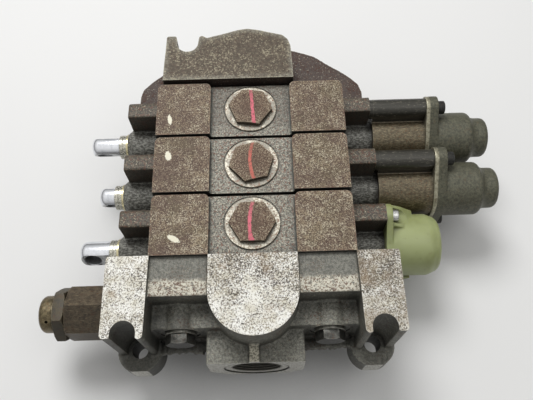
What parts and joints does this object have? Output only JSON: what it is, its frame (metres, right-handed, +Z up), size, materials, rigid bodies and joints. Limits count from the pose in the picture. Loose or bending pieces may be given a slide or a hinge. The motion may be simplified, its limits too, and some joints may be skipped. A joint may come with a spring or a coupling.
{
  "type": "hydraulic directional control valve",
  "caption": "Sectional hydraulic directional valve: inlet, spool and end sections clamped by tie bolts, with spring caps, check valve plugs, a relief cartridge and mounting feet.",
  "frame": {"origin": "on the flat underside, on the centre line of the stack, in the joint face between the inlet section and the first spool section", "axes": "+Z up, +X along the spools towards the spring caps, +Y along the tie bolts from the inlet section to the end section"},
  "size_m": [0.3283, 0.2463, 0.1095],
  "materials": {
    "inlet_cast_iron": "milled faces bright and pitted, cast sides dark",
    "section_cast_iron": "milled pads rusted brown, cast surfaces grey",
    "end_cast_iron": "rusted, with bright worn edges",
    "rusty_plug_steel": "rusted with paint witness mark",
    "seal_rubber": "matt",
    "yellow_zinc": "yellow zinc plated",
    "olive_steel": "thin worn olive paint",
    "dark_cap_iron": "worn dark olive paint",
    "green_plastic": "translucent yellow green",
    "black_screw_steel": "black oxide",
    "zinc_steel": "bright zinc",
    "brown_relief_steel": "brown aged plating",
    "dark_bolt_steel": "oiled dark steel",
    "spool_chrome": "hard chrome, ground",
    "bright_steel": "machined"
  },
  "bodies": {
    "valve_stack": {"inlet_section": "inlet_cast_iron", "section_body_1": "section_cast_iron", "section_body_2": "section_cast_iron", "section_body_3": "section_cast_iron", "end_section": "end_cast_iron", "check_plug_1": "rusty_plug_steel", "check_plug_2": "rusty_plug_steel", "check_plug_3": "rusty_plug_steel", "check_plug_seals": "seal_rubber", "check_spring_1": "bright_steel", "check_spring_2": "bright_steel", "check_spring_3": "bright_steel", "gallery_seals": "seal_rubber", "wiper_rings": "yellow_zinc", "spool_seals": "seal_rubber", "spring_housing_1": "olive_steel", "spring_housing_2": "olive_steel", "housing_plates": "olive_steel", "detent_cap_1": "dark_cap_iron", "detent_cap_2": "dark_cap_iron", "plastic_spring_cap": "green_plastic", "cap_screws_long": "black_screw_steel", "cap_screws_short": "zinc_steel", "centring_spring_1": "bright_steel", "centring_spring_2": "bright_steel", "centring_spring_3": "bright_steel", "inner_spring_cups": "bright_steel", "detent_sleeves": "bright_steel", "detent_balls": "bright_steel", "detent_springs": "bright_steel", "relief_body": "brown_relief_steel", "relief_seal": "seal_rubber", "relief_spring": "bright_steel", "relief_adjuster": "dark_bolt_steel", "relief_lock_nut": "brown_relief_steel", "relief_cap": "brown_relief_steel", "tie_bolts": "dark_bolt_steel", "tie_bolt_washers": "dark_bolt_steel", "gallery_plug": "dark_bolt_steel"},
    "spool_body_1": {"spool_1": "spool_chrome", "spool_sleeve_1": "bright_steel", "outer_spring_cup_1": "bright_steel", "detent_spindle_1": "bright_steel"},
    "spool_body_2": {"spool_2": "spool_chrome", "spool_sleeve_2": "bright_steel", "outer_spring_cup_2": "bright_steel", "detent_spindle_2": "bright_steel"},
    "spool_body_3": {"spool_3": "spool_chrome", "spool_sleeve_3": "bright_steel", "outer_spring_cup_3": "bright_steel", "spool_end_bolt": "bright_steel"},
    "check_valve_1": {"check_poppet_1": "bright_steel"},
    "check_valve_2": {"check_poppet_2": "bright_steel"},
    "check_valve_3": {"check_poppet_3": "bright_steel"},
    "relief_valve": {"relief_poppet": "bright_steel"}
  },
  "joints": [
    {"name": "spool_slide_1", "type": "slide", "parent": "valve_stack", "child": "spool_body_1", "axis": [1, 0, 0], "range_m": [-0.01, 0.01], "stiffness_N_per_m": 4000, "deforming": ["centring_spring_1"]},
    {"name": "spool_slide_2", "type": "slide", "parent": "valve_stack", "child": "spool_body_2", "axis": [1, 0, 0], "range_m": [-0.02, 0], "deforming": ["centring_spring_2"]},
    {"name": "spool_slide_3", "type": "slide", "parent": "valve_stack", "child": "spool_body_3", "axis": [1, 0, 0], "range_m": [-0.01, 0.01], "stiffness_N_per_m": 4000, "deforming": ["centring_spring_3"]},
    {"name": "check_lift_1", "type": "slide", "parent": "valve_stack", "child": "check_valve_1", "axis": [0, 0, 1], "range_m": [0, 0.003], "deforming": ["check_spring_1"]},
    {"name": "check_lift_2", "type": "slide", "parent": "valve_stack", "child": "check_valve_2", "axis": [0, 0, 1], "range_m": [0, 0.003], "deforming": ["check_spring_2"]},
    {"name": "check_lift_3", "type": "slide", "parent": "valve_stack", "child": "check_valve_3", "axis": [0, 0, 1], "range_m": [0, 0.003], "deforming": ["check_spring_3"]},
    {"name": "relief_lift", "type": "slide", "parent": "valve_stack", "child": "relief_valve", "axis": [-1, 0, 0], "range_m": [0, 0.003], "deforming": ["relief_spring"]}
  ]
}
